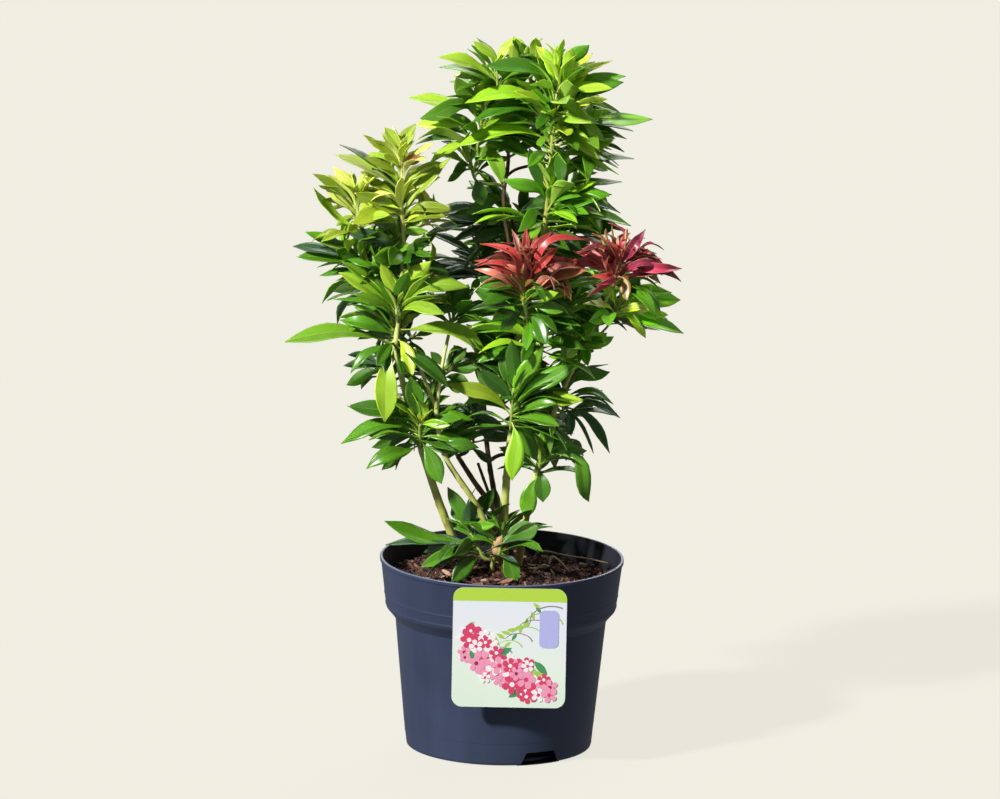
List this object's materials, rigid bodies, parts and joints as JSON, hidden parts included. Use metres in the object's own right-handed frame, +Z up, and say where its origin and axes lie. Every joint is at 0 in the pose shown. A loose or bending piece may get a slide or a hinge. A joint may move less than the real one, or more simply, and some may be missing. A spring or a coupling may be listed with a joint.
{
  "type": "potted evergreen shrub",
  "caption": "Evergreen shrub in a round nursery pot: upright stems branching into whorls of narrow glossy leaves, with red young shoots, bark compost and a plant label.",
  "frame": {"origin": "centre of the pot's flat underside", "axes": "+Z up through the plant, -Y towards the side that carries the label, +X to the right when the label is faced"},
  "size_m": [0.3061, 0.2372, 0.5634],
  "materials": {
    "pot": "satin anthracite plastic",
    "soil": "rough bark compost",
    "label": "glossy printed card",
    "stem_green": "smooth young bark",
    "stem_brown": "rough brown bark",
    "leaf_green": "glossy leaf",
    "leaf_young": "satin young leaf",
    "leaf_red": "satin young leaf"
  },
  "bodies": {
    "root": {"back_arm": "leaf_green", "back_bright": "leaf_green", "back_crown": "leaf_green", "back_foot": "leaf_green", "back_heart": "leaf_green", "back_left": "leaf_green", "back_low_left": "leaf_green", "back_low_right": "leaf_green", "back_middle": "leaf_green", "back_shade": "leaf_green", "back_skirt": "leaf_green", "back_young": "leaf_young", "blue_left": "leaf_green", "bough_left_crown": "stem_green", "bough_left_side": "stem_green", "bough_mid_left": "stem_green", "bough_mid_right": "stem_green", "bough_red_left": "stem_green", "bough_red_right": "stem_green", "bough_shade": "stem_brown", "bough_upper_left": "stem_brown", "bright_left": "leaf_green", "crown_leader": "leaf_green", "crown_left": "leaf_green", "crown_skirt": "leaf_green", "crown_wing": "leaf_green", "crown_wing_low": "leaf_green", "dark_centre": "leaf_green", "dark_left": "leaf_green", "drooping_right": "leaf_green", "foot_front": "leaf_green", "foot_left": "leaf_green", "heart_lower": "leaf_green", "heart_upper": "leaf_green", "label": "label", "low_left": "leaf_green", "low_right": "leaf_green", "pot": "pot", "red_left": "leaf_red", "red_right": "leaf_red", "right_arm": "leaf_green", "right_inner": "leaf_green", "shade_centre": "leaf_green", "shade_left": "leaf_green", "slate_centre": "leaf_green", "soil": "soil", "stem_back": "stem_brown", "stem_dark": "stem_brown", "stem_front": "stem_green", "stem_left": "stem_green", "stem_main": "stem_green", "stem_right": "stem_green", "stem_thin": "stem_brown", "young_left": "leaf_young", "young_side": "leaf_young"}
  },
  "joints": []
}
